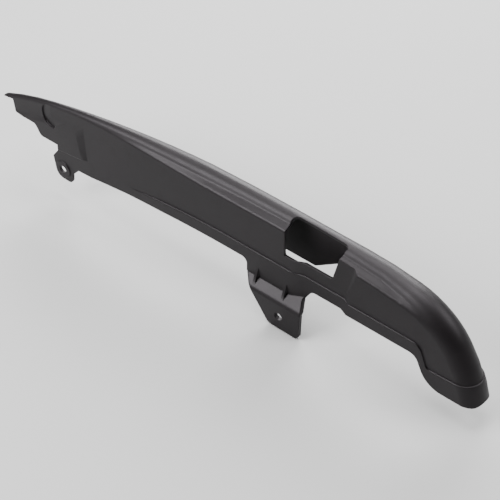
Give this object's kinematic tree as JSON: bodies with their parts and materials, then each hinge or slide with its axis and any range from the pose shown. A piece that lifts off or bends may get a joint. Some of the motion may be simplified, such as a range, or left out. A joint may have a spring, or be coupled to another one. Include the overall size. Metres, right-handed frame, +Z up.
{
  "type": "chain guard",
  "caption": "Long moulded plastic guard for a motorbike's drive chain: a hooded channel with a window, a rounded tail, a bent bracket and a bolt ear.",
  "frame": {"origin": "axis of the bracket's bolt hole, on the bracket's outer face", "axes": "+X along the guard to its rounded tail, +Y inboard towards the wheel, +Z up as fitted"},
  "size_m": [0.5458, 0.0395, 0.1177],
  "materials": {
    "black_plastic": "satin black moulding with a fine grain"
  },
  "bodies": {
    "root": {"chain_guard": "black_plastic"}
  },
  "joints": []
}
